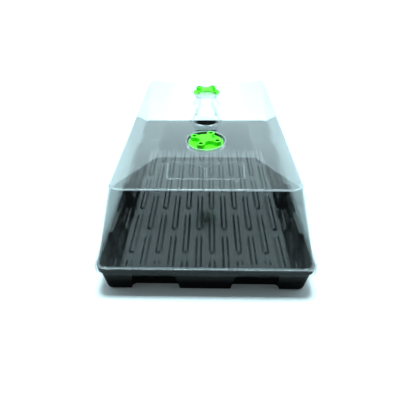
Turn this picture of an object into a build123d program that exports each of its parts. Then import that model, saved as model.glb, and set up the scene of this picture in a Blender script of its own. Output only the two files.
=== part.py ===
from build123d import *
import os
from math import cos, hypot, radians, sin

# Seed propagator: a shallow ribbed tray, a clear dome that stands on the tray's rim, and two
# rotary vents in the dome's roof, one at each end of a moulded grip.
# Millimetres. +Z up, +Y along the length, origin on the bench under the middle of the tray.

# ---- driving dimensions ------------------------------------------------------------------
OUTER_X, OUTER_Y = 240.0, 380.0       # over the dome's skirt, a standard seed tray's footprint
TRAY_WALL = 1.2
DOME_WALL = 1.0
OVERCUT = 1.0

# tray
RIM_TOP = 40.0
RIM_X, RIM_Y, RIM_CORNER = 234.8, 374.8, 10.0
RIM_ROUND = 1.2                       # rounding along the rim's outer edge
LIP_DROP = 7.5                        # depth of the turned-down edge
MOUTH_X, MOUTH_Y, MOUTH_CORNER = 229.6, 369.6, 7.0
FOOT_X, FOOT_Y, FOOT_CORNER = 226.0, 363.6, 9.0
FOOT_EDGE = 4.0                       # rounding under the feet
PLINTH_X, PLINTH_Y, PLINTH_CORNER = 211.0, 350.0, 24.0
PLINTH_RISE = 5.4                     # how far the ribbed floor stands above the feet
PLINTH_TAPER = 30.0
BAY_IN_TOP, BAY_IN_FOOT = 4.5, 8.0    # how far a bay in the wall reaches in, at mouth and foot
BAY_SPREAD = 13.0                     # how much wider a bay is at the foot
BAY_EDGE = 5.0
BAY_BLOCK = 30.0                      # depth of the block that cuts a bay, more than it needs
END_BAYS_X, END_BAY_WIDTH = (-56.0, 56.0), 43.0
SIDE_BAYS_Y = (-111.0, 0.0, 111.0)
SIDE_BAY_WIDTHS = (39.0, 56.0, 39.0)

# floor ribs: twelve columns, alternate columns shifted by half a period
RIB_PITCH_X, RIB_COLUMNS = 16.68, 12
RIB_PERIOD, RIB_GAP = 87.4, 9.6
RIB_STARTS = (-220.6, -177.6)         # front end of the first rib in even and odd columns
RIB_WIDTH, RIB_HEIGHT, RIB_SLOPE = 8.8, 2.8, 46.0
RIB_MARGIN = 8.0                      # nearest a rib comes to the front or back wall's foot
RIB_SHORTEST = 16.0
RIB_CROWN = 0.6                       # rounding along the top of a rib
RIB_THIN = 0.8                        # share of the wall left on a rib's slopes

# dome
SEAT_GAP = 0.1                        # between the flange and the tray's rim
BASE_X, BASE_Y, BASE_CORNER = 231.2, 371.2, 9.5
SHOULDER_X, SHOULDER_Y, SHOULDER_Z, SHOULDER_CORNER = 192.4, 322.6, 124.4, 11.0
ROOF_X, ROOF_Y, ROOF_Z = 102.6, 234.2, 135.4
CREASE = 1.4                          # rounding inside the roof's creases
CREASE_GROWTH = 0.8                   # how much larger it is outside, in wall thicknesses
SKIRT_BOTTOM = 32.2
SKIRT_LEAN = 0.8                      # the skirt's outward lean over its depth
SKIRT_CORNER = 12.0
SKIRT_ROUND = 1.5                     # rounding along the skirt's top edge
FLANGE_OVERLAP = 1.5                  # how far the skirt's and the flange's solids overlap

# nameplate with a seedling on each end slope
PLATE_WIDTH, PLATE_HEIGHT, PLATE_CORNER, PLATE_RISE = 79.0, 25.0, 3.0, 0.9
PLATE_ROOT = 0.5                      # how far the plate's block starts below the slope
PLATE_TAPER, PLATE_ROUND = 25.0, 0.4
PLATE_UP = 0.565                      # place of its middle up the slope
LEAF_LENGTH, LEAF_CURVE, LEAF_TILT = 16.5, 10.8, 34.0
STEM_WIDTH, STEM_LENGTH, LEAF_RISE = 3.0, 8.0, 0.8

# grip
PAD_X, PAD_Y, PAD_RISE = 26.0, 112.0, 1.2
GRIP_TOP = 148.4
KNOB_Y, KNOB_FOOT_R, BAR_FOOT = 27.5, 17.6, 24.0
GRIP_TAPER, GRIP_WAIST, KNOB_ROUND = 16.0, 9.0, 4.5
GRIP_FLARE, GRIP_FLARE_TAPER = 2.0, 50.0

# vents
VENT_Y = 80.0
WELL_R, WELL_DEPTH = 21.75, 3.8
BEAD_WIDTH, BEAD_RISE, BEAD_ROUND = 1.3, 0.6, 0.5   # raised edge round each well
HUB_HOLE_R = 4.05
PORT_R, PORT_AT = 3.2, 14.0
PORT_TURN = 45.0                      # from a dial's lobes to the ports, so that the vents are shut
DISC_R, DISC_THICK, DISC_GAP = 19.6, 1.6, 0.3
CROSS_TOP = 138.4
LOBE_R, LOBE_HOLE_R = 5.0, 2.5
CROSS_WAIST = 8.0                     # the cross's least radius, between two lobes
CROSS_WALL, CROSS_TAPER, CROSS_ROUND = 1.2, 5.0, 0.9
HUB_R, HUB_BORE, BARB_R = 3.97, 2.2, 4.8
BARB_DROP, BARB_GAP, BARB_TIP_R = 2.6, 0.3, 3.6
SLIT, SLIT_TOP = 1.0, 2.0             # width, and height of its top over the well's floor
VENTS = {"front_vent_dial": (-VENT_Y, 66.7), "rear_vent_dial": (VENT_Y, 50.4)}   # (y, turn)

FLANGE_BOTTOM = RIM_TOP + SEAT_GAP
FLANGE_TOP = FLANGE_BOTTOM + DOME_WALL
FLANGE_X = OUTER_X - 2 * (SKIRT_LEAN + SKIRT_ROUND)
FLANGE_Y = OUTER_Y - 2 * (SKIRT_LEAN + SKIRT_ROUND)
WELL_FLOOR = ROOF_Z - WELL_DEPTH
STANDING = (Align.CENTER, Align.CENTER, Align.MIN)


def frustum(foot, head, foot_z, head_z):
    """Straight-sided block between two rounded rectangles, each (x, y, corner radius)."""
    with BuildPart() as block:
        for (x, y, corner), z in ((foot, foot_z), (head, head_z)):
            with BuildSketch(Plane.XY.offset(z)):
                RectangleRounded(x, y, corner)
        loft(ruled=True)
    return block


# ---- tray --------------------------------------------------------------------------------
def bay(middle, width, mouth, foot, side, inset):
    """Block that pushes the tray's wall inwards; side is the direction of its wall, in degrees."""
    turned = Plane.XY.rotated((0, 0, side))
    inner_foot = foot / 2 - BAY_IN_FOOT - inset
    inner_head = mouth / 2 + TRAY_WALL - BAY_IN_TOP - inset
    head_z = RIM_TOP - TRAY_WALL + inset
    with BuildPart() as block:
        for z, inner, grow in ((-OVERCUT, inner_foot, BAY_SPREAD), (head_z, inner_head, 0.0)):
            with BuildSketch(turned.offset(z)):
                with Locations((inner + BAY_BLOCK / 2, middle)):
                    Rectangle(BAY_BLOCK, width + grow + 2 * inset)
        loft(ruled=True)
        inward = Vector(cos(radians(side)), sin(radians(side)), 0)
        upright = [e for e in block.edges() if abs(e.tangent_at(0.5).Z) > 0.5]
        nearest = sorted(upright, key=lambda e: e.center().dot(inward))[:2]
        fillet(nearest, BAY_EDGE + inset)
    return block


def tray_form(inset):
    """The tray's outer skin as a solid, moved in by inset; moved in by the wall it is the cavity."""
    with BuildPart() as form:
        foot = (FOOT_X - 2 * inset, FOOT_Y - 2 * inset, FOOT_CORNER - inset)
        over = OVERCUT if inset else 0.0
        head_grow = 2 * TRAY_WALL - 2 * inset
        head = (MOUTH_X + head_grow, MOUTH_Y + head_grow, MOUTH_CORNER + TRAY_WALL - inset)
        add(frustum(foot, head, inset, RIM_TOP + over))
        fillet(form.edges().group_by(Axis.Z)[0], FOOT_EDGE - inset)
        with BuildSketch(Plane.XY.offset(-OVERCUT)):
            RectangleRounded(PLINTH_X + 2 * inset, PLINTH_Y + 2 * inset, PLINTH_CORNER + inset)
        extrude(amount=PLINTH_RISE + OVERCUT + inset, taper=PLINTH_TAPER, mode=Mode.SUBTRACT)
        for x in END_BAYS_X:
            for side in (90, -90):
                block = bay(x, END_BAY_WIDTH, MOUTH_Y, FOOT_Y, side, inset)
                add(block, mode=Mode.SUBTRACT)
        for y, width in zip(SIDE_BAYS_Y, SIDE_BAY_WIDTHS):
            for side in (0, 180):
                add(bay(y, width, MOUTH_X, FOOT_X, side, inset), mode=Mode.SUBTRACT)
    return form


def rib_places():
    """(x, middle y, length) of every floor rib, cut short where it would meet an end wall."""
    limit = FOOT_Y / 2 - BAY_IN_FOOT - RIB_MARGIN
    places = []
    for column in range(RIB_COLUMNS):
        x = (column - (RIB_COLUMNS - 1) / 2) * RIB_PITCH_X
        start = RIB_STARTS[column % 2]
        while start < limit:
            low, high = max(start, -limit), min(start + RIB_PERIOD - RIB_GAP, limit)
            if high - low > RIB_SHORTEST:
                places.append((x, (low + high) / 2, high - low))
            start += RIB_PERIOD
    return places


def ribs(narrower, floor_z, crown):
    """All the ribs standing on floor_z, narrower on each side by narrower."""
    with BuildPart() as rows:
        with BuildSketch(Plane.XY.offset(floor_z)):
            for x, y, length in rib_places():
                with Locations((x, y)):
                    SlotOverall(length - 2 * narrower, RIB_WIDTH - 2 * narrower, rotation=90)
        extrude(amount=RIB_HEIGHT, taper=RIB_SLOPE)
        if crown:
            fillet(rows.edges().group_by(Axis.Z)[-1], crown)
    return rows


with BuildPart() as rim:
    # turned-down edge, with the wall's thickness left on top and outside
    with BuildSketch(Plane.XY.offset(RIM_TOP - LIP_DROP)):
        RectangleRounded(RIM_X, RIM_Y, RIM_CORNER)
    extrude(amount=LIP_DROP)
    fillet(rim.edges().group_by(Axis.Z)[-1], RIM_ROUND)
    with BuildSketch(Plane.XY.offset(RIM_TOP - LIP_DROP)):
        RectangleRounded(RIM_X - 2 * TRAY_WALL, RIM_Y - 2 * TRAY_WALL, RIM_CORNER - TRAY_WALL)
    extrude(amount=LIP_DROP - TRAY_WALL, mode=Mode.SUBTRACT)

with BuildPart() as tray:
    add(rim)
    add(tray_form(0.0))
    add(tray_form(TRAY_WALL), mode=Mode.SUBTRACT)
    add(ribs(0.0, PLINTH_RISE + TRAY_WALL, RIB_CROWN))
    add(ribs(TRAY_WALL * RIB_THIN, PLINTH_RISE, 0.0), mode=Mode.SUBTRACT)


# ---- dome --------------------------------------------------------------------------------
def hip_roof(lower, rise):
    """Pyramid frustum that carries the roof's slopes down to the flange, lowered by lower."""
    run_x, run_y = (SHOULDER_X - ROOF_X) / rise, (SHOULDER_Y - ROOF_Y) / rise
    drop = ROOF_Z - FLANGE_TOP
    with BuildPart() as block:
        for z, x, y in (
            (FLANGE_TOP, ROOF_X + run_x * drop, ROOF_Y + run_y * drop),
            (ROOF_Z, ROOF_X, ROOF_Y),
        ):
            with BuildSketch(Plane.XY.offset(z - lower)):
                Rectangle(x, y)
        loft(ruled=True)
    return block


def shell_form(inset):
    """The dome's walls and roof as a solid, moved in by inset."""
    rise = ROOF_Z - SHOULDER_Z
    taper_x = (BASE_X - SHOULDER_X) / (SHOULDER_Z - FLANGE_TOP)
    taper_y = (BASE_Y - SHOULDER_Y) / (SHOULDER_Z - FLANGE_TOP)
    foot = (BASE_X - 2 * inset, BASE_Y - 2 * inset, BASE_CORNER - inset)
    head = (
        SHOULDER_X - taper_x * rise - 2 * inset,
        SHOULDER_Y - taper_y * rise - 2 * inset,
        SHOULDER_CORNER - inset,
    )
    with BuildPart() as form:
        add(frustum(foot, head, FLANGE_TOP, ROOF_Z))
        add(hip_roof(inset, rise), mode=Mode.INTERSECT)
        above = form.edges().filter_by_position(Axis.Z, SHOULDER_Z - 2 * rise / 3, ROOF_Z)
        creases = [e for e in above if e.center().Z > SHOULDER_Z - inset - 1]
        fillet(creases, CREASE + (DOME_WALL - inset) * CREASE_GROWTH)
    return form


def grip_outline(grow):
    """Bone-shaped outline of the grip's foot, grown all round."""
    with BuildSketch() as outline:
        Rectangle(BAR_FOOT + 2 * grow, 2 * KNOB_Y)
        with Locations((0, -KNOB_Y), (0, KNOB_Y)):
            Circle(KNOB_FOOT_R + grow)
        waists = [v for v in outline.vertices() if abs(abs(v.X) - BAR_FOOT / 2 - grow) < 0.01]
        fillet(waists, GRIP_WAIST)
    return outline.sketch


def grip_form(inset):
    """Bone-shaped grip with a flared foot, moved in by inset, standing on the roof."""
    foot = Plane.XY.offset(ROOF_Z - inset)
    with BuildPart() as form:
        with BuildSketch(foot):
            add(grip_outline(-inset))
        extrude(amount=GRIP_TOP - ROOF_Z, taper=GRIP_TAPER)
        fillet(form.edges().group_by(Axis.Z)[-1], KNOB_ROUND - inset)
        with BuildSketch(foot):
            add(grip_outline(GRIP_FLARE - inset))
        extrude(amount=GRIP_FLARE, taper=GRIP_FLARE_TAPER)
    return form


def slope_plane(end):
    """Plane on an end slope at the nameplate's middle; end is -1 at the front, 1 at the rear."""
    run, rise = (SHOULDER_Y - ROOF_Y) / 2, ROOF_Z - SHOULDER_Z
    length = hypot(run, rise)
    middle = (0, end * (SHOULDER_Y / 2 - run * PLATE_UP), SHOULDER_Z + rise * PLATE_UP)
    return Plane(middle, x_dir=(-end, 0, 0), z_dir=(0, end * rise / length, run / length))


def nameplate(inset, rise):
    """A raised blank plate, lying on the XY plane."""
    with BuildPart() as plate:
        with BuildSketch(Plane.XY.offset(-PLATE_ROOT - inset)):
            RectangleRounded(
                PLATE_WIDTH - 2 * inset, PLATE_HEIGHT - 2 * inset, PLATE_CORNER - inset / 2
            )
        extrude(amount=PLATE_ROOT + rise, taper=PLATE_TAPER)
        if not inset:
            fillet(plate.edges().group_by(Axis.Z)[-1], PLATE_ROUND)
    return plate.part


def seedling():
    """Two leaves on a stem, raised, lying on the XY plane."""
    tip = (LEAF_LENGTH * cos(radians(LEAF_TILT)), LEAF_LENGTH * sin(radians(LEAF_TILT)))
    with BuildPart() as sprig:
        with BuildSketch(Plane.XY.offset(PLATE_RISE - DOME_WALL / 2)):
            with BuildLine():
                RadiusArc((0, 0), tip, LEAF_CURVE)
                RadiusArc(tip, (0, 0), LEAF_CURVE)
            make_face()
            mirror(about=Plane.YZ)
            with Locations((0, -STEM_LENGTH / 2)):
                Rectangle(STEM_WIDTH, STEM_LENGTH + STEM_WIDTH)
        extrude(amount=DOME_WALL / 2 + LEAF_RISE, taper=PLATE_TAPER)
    return sprig.part


def skirt(inset):
    """Block from the flange down to the skirt's foot, leaning outwards, moved in by inset."""
    with BuildPart() as block:
        for z, lean in ((SKIRT_BOTTOM, 0.0), (FLANGE_TOP - inset, SKIRT_LEAN)):
            with BuildSketch(Plane.XY.offset(z)):
                shrink = 2 * (lean + inset)
                RectangleRounded(OUTER_X - shrink, OUTER_Y - shrink, SKIRT_CORNER - lean - inset)
        loft(ruled=True)
        if not inset:
            fillet(block.edges().group_by(Axis.Z)[-1], SKIRT_ROUND)
    return block


with BuildPart() as skirt_wall:
    add(skirt(0.0))
    add(skirt(DOME_WALL), mode=Mode.SUBTRACT)
    with BuildSketch(Plane.XY.offset(FLANGE_BOTTOM)):
        RectangleRounded(
            FLANGE_X - 2 * FLANGE_OVERLAP, FLANGE_Y - 2 * FLANGE_OVERLAP, SKIRT_CORNER - FLANGE_OVERLAP
        )
    extrude(amount=2 * DOME_WALL, mode=Mode.SUBTRACT)

with BuildPart() as hollow:
    add(shell_form(DOME_WALL))
    with Locations((0, 0, ROOF_Z - 2 * DOME_WALL)):
        Box(PAD_X - 2 * DOME_WALL, PAD_Y - 2 * DOME_WALL, DOME_WALL + PAD_RISE, align=STANDING)
    add(grip_form(DOME_WALL))
    with Locations(slope_plane(-1), slope_plane(1)):
        add(nameplate(DOME_WALL, PLATE_RISE))
    with Locations((0, -VENT_Y, WELL_FLOOR - DOME_WALL), (0, VENT_Y, WELL_FLOOR - DOME_WALL)):
        Cylinder(WELL_R + DOME_WALL, WELL_DEPTH * 2, align=STANDING, mode=Mode.SUBTRACT)

with BuildPart() as dome:
    # walls and roof, with the strip between the vents, the grip and the nameplates
    add(shell_form(0.0))
    with Locations((0, 0, ROOF_Z - DOME_WALL)):
        Box(PAD_X, PAD_Y, DOME_WALL + PAD_RISE, align=STANDING)
    add(grip_form(0.0))
    with Locations(slope_plane(-1), slope_plane(1)):
        add(nameplate(0.0, PLATE_RISE))
    with Locations((0, -VENT_Y, ROOF_Z - DOME_WALL / 2), (0, VENT_Y, ROOF_Z - DOME_WALL / 2)):
        Cylinder(WELL_R + BEAD_WIDTH, DOME_WALL / 2 + BEAD_RISE, align=STANDING)
    with Locations((0, -VENT_Y, WELL_FLOOR), (0, VENT_Y, WELL_FLOOR)):
        Cylinder(WELL_R, WELL_DEPTH * 2, align=STANDING, mode=Mode.SUBTRACT)
    bead_edges = [
        e for e in dome.edges().filter_by(GeomType.CIRCLE)
        if abs(e.center().Z - ROOF_Z - BEAD_RISE) < 0.01 and e.radius >= WELL_R - 0.01
    ]
    fillet(bead_edges, BEAD_ROUND)
    # flange and skirt
    with BuildSketch(Plane.XY.offset(FLANGE_BOTTOM)):
        RectangleRounded(FLANGE_X, FLANGE_Y, SKIRT_CORNER - SKIRT_LEAN - SKIRT_ROUND)
        RectangleRounded(
            BASE_X - 2 * DOME_WALL, BASE_Y - 2 * DOME_WALL, BASE_CORNER - DOME_WALL, mode=Mode.SUBTRACT
        )
    extrude(amount=DOME_WALL)
    add(skirt_wall)
    add(hollow, mode=Mode.SUBTRACT)
    with Locations(slope_plane(-1), slope_plane(1)):
        add(seedling())
    # hub hole and air ports in each well
    for y, turn in VENTS.values():
        with Locations((0, y, WELL_FLOOR)):
            Hole(HUB_HOLE_R, 2 * DOME_WALL)
            with PolarLocations(PORT_AT, 4, start_angle=turn + PORT_TURN):
                Hole(PORT_R, 2 * DOME_WALL)


# ---- vent dials --------------------------------------------------------------------------
def cross(inset, floor_z, top_z, crown):
    """Four lobes joined by a waisted cross, at the first vent angle of zero, moved in by inset."""
    # circles that hollow the sides between lobes, tangent to the lobes and to the waist
    reach = (PORT_AT**2 - (LOBE_R - CROSS_WAIST) ** 2) / (
        2 * (PORT_AT * cos(radians(45)) + LOBE_R - CROSS_WAIST)
    )
    corners = []
    for quarter in range(4):
        for distance, turn in ((PORT_AT, 0), (reach, 45)):
            angle = radians(90 * quarter + turn)
            corners.append((distance * cos(angle), distance * sin(angle)))
    with BuildPart() as form:
        with BuildSketch(Plane.XY.offset(floor_z)):
            Polygon(*corners, align=None)
            with PolarLocations(reach, 4, start_angle=45):
                Circle(reach - CROSS_WAIST + inset, mode=Mode.SUBTRACT)
            with PolarLocations(PORT_AT, 4):
                Circle(LOBE_R - inset)
        extrude(amount=top_z - floor_z, taper=CROSS_TAPER)
        if crown:
            fillet(form.edges().group_by(Axis.Z)[-1], crown)
    return form


def vent_dial(y, turn):
    """Rotary vent: a disc with a hollow cross on top and a split, barbed hub underneath."""
    disc_z = WELL_FLOOR + DISC_GAP
    sheet_z = WELL_FLOOR - DOME_WALL
    barb_z = sheet_z - BARB_GAP
    with BuildPart() as dial:
        with Locations((0, 0, disc_z)):
            Cylinder(DISC_R, DISC_THICK, align=STANDING)
        fillet(dial.edges().group_by(Axis.Z)[-1], DISC_THICK / 3)
        add(cross(0.0, disc_z, CROSS_TOP, CROSS_ROUND))
        add(cross(CROSS_WALL, disc_z, CROSS_TOP - CROSS_WALL, 0.0), mode=Mode.SUBTRACT)
        with PolarLocations(PORT_AT, 4):
            with Locations((0, 0, CROSS_TOP)):
                Hole(LOBE_HOLE_R, 2 * CROSS_WALL)
        with Locations((0, 0, barb_z)):
            Cylinder(HUB_R, CROSS_TOP - CROSS_WALL / 2 - barb_z, align=STANDING)
        with BuildSketch(Plane.XY.offset(barb_z - BARB_DROP)):
            Circle(BARB_TIP_R)
        with BuildSketch(Plane.XY.offset(barb_z)):
            Circle(BARB_R)
        loft()
        with Locations((0, 0, barb_z - BARB_DROP)):
            bore_height = CROSS_TOP - CROSS_WALL - barb_z + BARB_DROP
            Cylinder(HUB_BORE, bore_height, align=STANDING, mode=Mode.SUBTRACT)
            slit_height = WELL_FLOOR + SLIT_TOP - barb_z + BARB_DROP
            for size in ((2 * BARB_R, SLIT), (SLIT, 2 * BARB_R)):
                Box(*size, slit_height, align=STANDING, mode=Mode.SUBTRACT)
    return Location((0, y, 0), (0, 0, turn)) * dial.part


os.makedirs("parts", exist_ok=True)
pieces = {"tray": tray.part, "dome": dome.part}
for name, (y, turn) in VENTS.items():
    pieces[name] = vent_dial(y, turn)
for name, piece in pieces.items():
    piece.label = name
    export_step(piece, f"parts/{name}.step")
    print(name, round(piece.volume), piece.is_valid, len(piece.solids()))
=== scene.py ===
from math import cos, radians, sin

import bpy
import numpy as np
from mathutils import Matrix, Vector


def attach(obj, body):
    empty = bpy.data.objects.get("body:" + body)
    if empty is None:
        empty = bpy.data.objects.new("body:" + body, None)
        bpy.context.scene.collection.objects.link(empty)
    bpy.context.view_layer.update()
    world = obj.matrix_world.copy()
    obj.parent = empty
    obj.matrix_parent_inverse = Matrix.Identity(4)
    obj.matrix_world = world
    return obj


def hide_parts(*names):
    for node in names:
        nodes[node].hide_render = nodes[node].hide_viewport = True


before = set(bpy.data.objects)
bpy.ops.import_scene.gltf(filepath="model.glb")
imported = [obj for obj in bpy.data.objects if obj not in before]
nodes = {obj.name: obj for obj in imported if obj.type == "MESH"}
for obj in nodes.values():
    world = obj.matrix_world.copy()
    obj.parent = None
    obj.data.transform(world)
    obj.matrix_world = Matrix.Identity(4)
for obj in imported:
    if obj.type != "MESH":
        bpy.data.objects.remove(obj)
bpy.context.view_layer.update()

# ---- camera ------------------------------------------------------------------------------
CAMERA_PLACE = Vector((0.0017, -0.4258, 0.3149))
CAMERA_PITCH, CAMERA_YAW, CAMERA_ROLL = radians(37.43), radians(-1.5), radians(-0.61)
LENS, SENSOR = 30.49, 36.0      # in mm
NEAR_LIMIT = 0.01


def add_camera():
    """Camera looking down at the front end of the dome."""
    right = Vector((cos(CAMERA_YAW), -sin(CAMERA_YAW), 0))
    ahead = Vector((sin(CAMERA_YAW), cos(CAMERA_YAW), 0))
    forward = cos(CAMERA_PITCH) * ahead + sin(CAMERA_PITCH) * Vector((0, 0, -1))
    up = right.cross(forward)
    x_axis = cos(CAMERA_ROLL) * right + sin(CAMERA_ROLL) * up
    y_axis = x_axis.cross(forward)
    data = bpy.data.cameras.new("camera")
    data.lens, data.sensor_width = LENS, SENSOR
    data.clip_start = NEAR_LIMIT
    camera = bpy.data.objects.new("camera", data)
    bpy.context.scene.collection.objects.link(camera)
    turn = Matrix((x_axis, y_axis, -forward)).transposed().to_4x4()
    camera.matrix_world = Matrix.Translation(CAMERA_PLACE) @ turn
    bpy.context.scene.camera = camera


# ---- node helpers ------------------------------------------------------------------------
class Nodes:
    """A material's or world's node tree, with short calls to add and join nodes."""

    def __init__(self, tree):
        self.tree = tree
        tree.nodes.clear()

    def add(self, kind, inputs=None, **settings):
        """New node. An input is either another node's output, which is linked, or a value."""
        node = self.tree.nodes.new(kind)
        for name, value in settings.items():
            setattr(node, name, value)
        for name, value in (inputs or {}).items():
            if hasattr(value, "is_output"):
                self.tree.links.new(value, node.inputs[name])
            else:
                node.inputs[name].default_value = value
        return node

    def math(self, operation, first, second):
        node = self.add("ShaderNodeMath", {0: first, 1: second}, operation=operation)
        return node.outputs["Value"]

    def span(self, value, start=(0.0, 1.0), end=(0.0, 1.0)):
        """The value, carried from the range start to the range end."""
        return self.add("ShaderNodeMapRange", {
            "Value": value, "From Min": start[0], "From Max": start[1],
            "To Min": end[0], "To Max": end[1]}).outputs["Result"]

    def ramp(self, factor, stops):
        """Grey levels at the given positions."""
        node = self.add("ShaderNodeValToRGB", {"Fac": factor})
        elements = node.color_ramp.elements
        while len(elements) < len(stops):
            elements.new(0.5)
        for element, (position, level) in zip(elements, stops):
            element.position = position
            element.color = (level, level, level, 1)
        return node.outputs["Color"]

    def noise(self, scale, detail):
        """Noise fixed to the object. The scale is in waves per metre."""
        place = self.add("ShaderNodeTexCoord").outputs["Object"]
        return self.add("ShaderNodeTexNoise", {
            "Vector": place, "Scale": scale, "Detail": detail}).outputs["Fac"]

    def bump(self, height, strength, distance, **inputs):
        """Normals of a surface whose height spans the distance, mixed in by the strength."""
        node = self.add("ShaderNodeBump", {
            "Height": height, "Strength": strength, "Distance": distance, **inputs})
        return node.outputs["Normal"]

    def mix(self, factor, first, second):
        """The first shader at factor 0 and the second at factor 1."""
        return self.add("ShaderNodeMixShader", {0: factor, 1: first, 2: second}).outputs["Shader"]


def new_material(name):
    material = bpy.data.materials.new(name)
    material.use_nodes = True
    return material, Nodes(material.node_tree)


# ---- dome mesh ---------------------------------------------------------------------------
SAME_PLACE = 1e-6               # vertices nearer than this are one place
FLAT_TURN = 0.01                # radians between neighbours that count as one flat patch
SHARP_TURN = 1.2                # radians between neighbours that are a cut edge, not a bend
CREASE_START, CREASE_FULL = 450.0, 1400.0   # in 1/m, curvature of the first and whitest creases; this whiteness is partly the sheet's own whitening at bends and partly painted highlight
NARROWEST = 1e-5                # least width of a patch that a curvature is worked out for


def mesh_array(items, name, width, kind):
    values = np.empty(len(items) * width, kind)
    items.foreach_get(name, values)
    return values.reshape(-1, width)


def neighbours(points, corners):
    """Pairs of triangles with two places in common, whether or not they share vertices."""
    steps = np.round(points / SAME_PLACE).astype(np.int64)
    place = np.unique(steps, axis=0, return_inverse=True)[1].ravel()
    ends = np.concatenate([place[corners[:, pair]] for pair in ([0, 1], [1, 2], [2, 0])])
    ends.sort(axis=1)
    faces = np.tile(np.arange(len(corners)), 3)
    order = np.lexsort((ends[:, 1], ends[:, 0]))
    same = np.all(ends[order[:-1]] == ends[order[1:]], axis=1)
    return faces[order[:-1][same]], faces[order[1:][same]]


def flat_groups(count, pairs):
    """Number of the flat patch that each triangle belongs to, given pairs in one plane."""
    parent = list(range(count))

    def root(face):
        while parent[face] != face:
            parent[face] = parent[parent[face]]
            face = parent[face]
        return face

    for one, other in pairs:
        parent[root(one)] = root(other)
    return np.unique([root(face) for face in range(count)], return_inverse=True)[1]


def patch_widths(points, corners, patch):
    """Width of each flat patch: its area over the diagonal of its box."""
    first, second, third = (points[corners[:, corner]] for corner in range(3))
    area = np.bincount(patch, np.linalg.norm(np.cross(second - first, third - first), axis=1) / 2)
    low = np.full((len(area), 3), np.inf)
    high = np.full((len(area), 3), -np.inf)
    for place in (first, second, third):
        np.minimum.at(low, patch, place)
        np.maximum.at(high, patch, place)
    return area / np.maximum(np.linalg.norm(high - low, axis=1), SAME_PLACE)


def mark_creases(mesh):
    """Gives each triangle a number from 0 to 1 for how tightly the sheet bends there."""
    points = mesh_array(mesh.vertices, "co", 3, np.float32).astype(float)
    corners = mesh_array(mesh.loops, "vertex_index", 1, np.int32).reshape(-1, 3)
    normals = mesh_array(mesh.polygons, "normal", 3, np.float32)
    one, other = neighbours(points, corners)
    turn = np.arccos(np.clip(np.sum(normals[one] * normals[other], axis=1), -1, 1))
    flat = turn < FLAT_TURN
    patch = flat_groups(len(corners), zip(one[flat].tolist(), other[flat].tolist()))
    width = np.maximum(patch_widths(points, corners, patch), NARROWEST)
    bend = np.zeros(len(width))
    curved = ~flat & (turn < SHARP_TURN)
    for side in (one, other):
        owner = patch[side[curved]]
        np.maximum.at(bend, owner, turn[curved] / width[owner])
    share = np.clip((bend - CREASE_START) / (CREASE_FULL - CREASE_START), 0, 1)[patch]
    # this mark sets how white each bend is drawn: partly the sheet's own whitening, partly painted
    # highlight
    crease_whitening_and_glint = mesh.attributes.new("crease_whitening_and_glint", "FLOAT", "FACE")
    crease_whitening_and_glint.data.foreach_set("value", share.astype(np.float32))


def add_clear_dome(material):
    """The dome's own shape, with its creases marked so that they can look whiter: partly the
    sheet's own whitening at bends, partly painted highlight.
    """
    mesh = nodes["dome"].data.copy()
    mark_creases(mesh)
    mesh.materials.clear()
    mesh.materials.append(material)
    dome = bpy.data.objects.new("clear_dome", mesh)
    bpy.context.scene.collection.objects.link(dome)
    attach(dome, "dome")
    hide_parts("dome")


# ---- materials ---------------------------------------------------------------------------
BLACK = (0.0025, 0.003, 0.003, 1)
LIME = (0.09, 0.77, 0.018, 1)
CLEAR = (0.965, 0.985, 0.985, 1)        # light that passes straight through one face
SHEEN = (0.95, 1.0, 1.0, 1)
MILK = (0.86, 0.93, 0.94, 1)
SHEET_IOR = 1.5
HAZE = ((0.55, 0.002), (0.84, 0.11), (1.0, 0.38))   # cloudiness by how flat a face is seen
CREASE_WHITENING_AND_GLINT = 0.3                      # whiteness of the tightest bends, partly the sheet's own whitening and partly painted highlight


def black_sheet():
    """Glossy black thermoformed sheet, with faint orange peel and patches of duller gloss."""
    material, n = new_material("black_sheet")
    wave = n.noise(scale=38.0, detail=2.0)
    peel = n.bump(n.noise(scale=420.0, detail=2.0), strength=0.03, distance=0.0004)
    uneven = n.bump(wave, strength=0.02, distance=0.001, Normal=peel)
    shader = n.add("ShaderNodeBsdfPrincipled", {
        "Base Color": BLACK, "Roughness": n.ramp(wave, ((0.3, 0.12), (0.7, 0.17))),
        "Normal": uneven, "Specular IOR Level": 0.5})
    n.add("ShaderNodeOutputMaterial", {"Surface": shader.outputs["BSDF"]})
    return material


def clear_sheet():
    """Clear thin sheet: cloudier where it is seen flat, whiter at its creases (partly the sheet's
    own whitening, partly painted highlight), and glossy over all.
    """
    material, n = new_material("clear_sheet")
    back = n.add("ShaderNodeNewGeometry").outputs["Backfacing"]
    index = n.span(back, end=(SHEET_IOR, 1 / SHEET_IOR))
    mirror = n.add("ShaderNodeFresnel", {"IOR": index}).outputs["Fac"]
    uneven = n.bump(n.noise(scale=22.0, detail=1.0), strength=0.08, distance=0.002)
    gloss = n.add("ShaderNodeBsdfGlossy", {"Color": SHEEN, "Roughness": 0.04, "Normal": uneven})
    edge = n.add("ShaderNodeLayerWeight", {"Blend": 0.5}).outputs["Facing"]
    # creases are whitened with the milky shader: partly the sheet's own whitening at bends, partly
    # painted highlight
    crease_whitening_and_glint = n.add("ShaderNodeAttribute", attribute_name="crease_whitening_and_glint").outputs["Fac"]
    haze_and_crease_glint = n.math("MAXIMUM", n.ramp(edge, HAZE), n.math("MULTIPLY", crease_whitening_and_glint, CREASE_WHITENING_AND_GLINT))
    near_side = n.add("ShaderNodeBsdfDiffuse", {"Color": MILK})
    far_side = n.add("ShaderNodeBsdfTranslucent", {"Color": MILK})
    milk_and_crease_glint = n.mix(0.5, near_side.outputs["BSDF"], far_side.outputs["BSDF"])
    see = n.add("ShaderNodeBsdfTransparent", {"Color": CLEAR})
    sheet = n.mix(haze_and_crease_glint, see.outputs["BSDF"], milk_and_crease_glint)
    n.add("ShaderNodeOutputMaterial", {"Surface": n.mix(mirror, sheet, gloss.outputs["BSDF"])})
    return material


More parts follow.
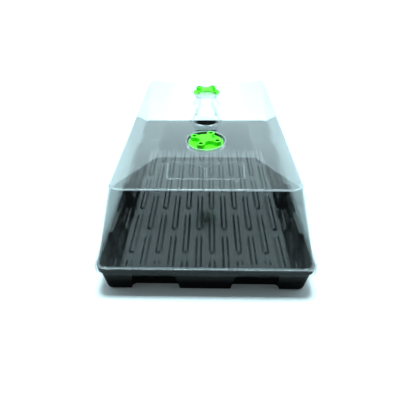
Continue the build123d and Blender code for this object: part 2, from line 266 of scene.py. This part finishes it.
def green_plastic():
    """Lime green moulded plastic with a fine mould texture."""
    material, n = new_material("green_plastic")
    grain = n.noise(scale=900.0, detail=3.0)
    shader = n.add("ShaderNodeBsdfPrincipled", {
        "Base Color": LIME, "Roughness": n.ramp(grain, ((0.3, 0.34), (0.7, 0.44))),
        "Normal": n.bump(grain, strength=0.1, distance=0.0002), "Specular IOR Level": 0.12})
    n.add("ShaderNodeOutputMaterial", {"Surface": shader.outputs["BSDF"]})
    return material


def give(node, material):
    for slot in nodes[node].material_slots:
        slot.material = material


# ---- studio ------------------------------------------------------------------------------
WHITE = (1, 1, 1, 1)
STUDIO_TINT = (0.80, 1.0, 1.06, 1)
# brightness of the studio at each elevation, in degrees
SKY = ((0, 0.3), (9, 0.5), (20, 1.9), (46, 2.2), (56, 1.5), (66, 1.4), (76, 0.3))
SKY_FADE = (-0.5, 0.1)          # along Y, from the front side's brightness to the full one
FRONT_SHARE = 0.12              # brightness of the front side, of the full one
MATT_SHARE = 0.5                # how much of the studio's light matt surfaces get
FLOOR_HALF = 6.0
FLOOR_COLOUR = (0.77, 0.82, 0.83, 1)
FLOOR_DARK = (0.02, 0.02, 0.02, 1)
GLOW_FADE, GLOW = (0.35, 1.3), (0.02, 0.7)  # distance from the middle, and the floor's glow there
# along Y, where the floor goes from dark to dim and from dim to white, except for the camera
DIM_FADE, DIM_SHARE = (-0.7, -0.4), 0.14
LIT_FADE = (-0.16, -0.04)


def add_world():
    """White studio, dim overhead and in front of the object. The camera sees plain white."""
    world = bpy.data.worlds.new("studio")
    bpy.context.scene.world = world
    world.use_nodes = True
    n = Nodes(world.node_tree)
    place = n.add("ShaderNodeTexCoord").outputs["Generated"]
    axes = n.add("ShaderNodeSeparateXYZ", {"Vector": place}).outputs
    height = n.ramp(axes["Z"], [(sin(radians(angle)), level) for angle, level in SKY])
    side = n.span(axes["Y"], start=SKY_FADE, end=(FRONT_SHARE, 1.0))
    path = n.add("ShaderNodeLightPath").outputs
    matt = n.span(path["Is Diffuse Ray"], end=(1.0, MATT_SHARE))
    strength = n.math("MULTIPLY", n.math("MULTIPLY", height, side), matt)
    light = n.add("ShaderNodeBackground", {"Color": STUDIO_TINT, "Strength": strength})
    plain = n.add("ShaderNodeBackground", {"Color": WHITE, "Strength": 1.0})
    seen = n.mix(path["Is Camera Ray"], light.outputs["Background"], plain.outputs["Background"])
    n.add("ShaderNodeOutputWorld", {"Surface": seen})


def add_floor():
    """White floor, glowing further out. Its front reflects and lights less than the camera sees."""
    material, n = new_material("floor")
    place = n.add("ShaderNodeTexCoord").outputs["Object"]
    away = n.add("ShaderNodeVectorMath", {0: place}, operation="LENGTH").outputs["Value"]
    glow = n.add("ShaderNodeEmission", {
        "Color": WHITE, "Strength": n.span(away, start=GLOW_FADE, end=GLOW)})
    matt = n.add("ShaderNodeBsdfDiffuse", {"Color": FLOOR_COLOUR})
    white = n.add("ShaderNodeAddShader", {0: matt.outputs["BSDF"], 1: glow.outputs["Emission"]})
    dark = n.add("ShaderNodeBsdfDiffuse", {"Color": FLOOR_DARK})
    along = n.add("ShaderNodeSeparateXYZ", {"Vector": place}).outputs["Y"]
    lit = n.span(along, start=LIT_FADE)
    dim = n.span(along, start=DIM_FADE, end=(0.0, DIM_SHARE))
    seen = n.add("ShaderNodeLightPath").outputs["Is Camera Ray"]
    share = n.math("MAXIMUM", n.math("MAXIMUM", lit, dim), seen)
    surface = n.mix(share, dark.outputs["BSDF"], white.outputs["Shader"])
    n.add("ShaderNodeOutputMaterial", {"Surface": surface})
    mesh = bpy.data.meshes.new("floor")
    corners = [(x * FLOOR_HALF, y * FLOOR_HALF, 0) for x, y in ((-1, -1), (1, -1), (1, 1), (-1, 1))]
    mesh.from_pydata(corners, [], [(0, 1, 2, 3)])
    mesh.materials.append(material)
    floor = bpy.data.objects.new("floor", mesh)
    bpy.context.scene.collection.objects.link(floor)


def add_softbox(name, place, target, size, power, lights=True, shines=True):
    """Area light, which may be left out of matt light or out of reflections."""
    data = bpy.data.lights.new(name, "AREA")
    data.shape = "RECTANGLE"
    data.size, data.size_y = size
    data.energy = power
    data.color = STUDIO_TINT[:3]
    lamp = bpy.data.objects.new(name, data)
    bpy.context.scene.collection.objects.link(lamp)
    lamp.location = place
    aim = Vector(target) - Vector(place)
    lamp.rotation_euler = aim.to_track_quat("-Z", "Y").to_euler()
    lamp.visible_diffuse, lamp.visible_glossy = lights, shines


add_camera()
add_world()
add_floor()
add_softbox("overhead", place=(0, -0.1, 1.6), target=(0, -0.1, 0), size=(2.0, 0.5), power=38,
            lights=False)
add_softbox("key", place=(0, 0.05, 1.6), target=(0, 0, 0), size=(0.45, 0.2), power=36,
            shines=False)

give("tray", black_sheet())
add_clear_dome(clear_sheet())
green = green_plastic()
give("front_vent_dial", green)
give("rear_vent_dial", green)

bpy.context.scene.view_settings.view_transform = "Standard"
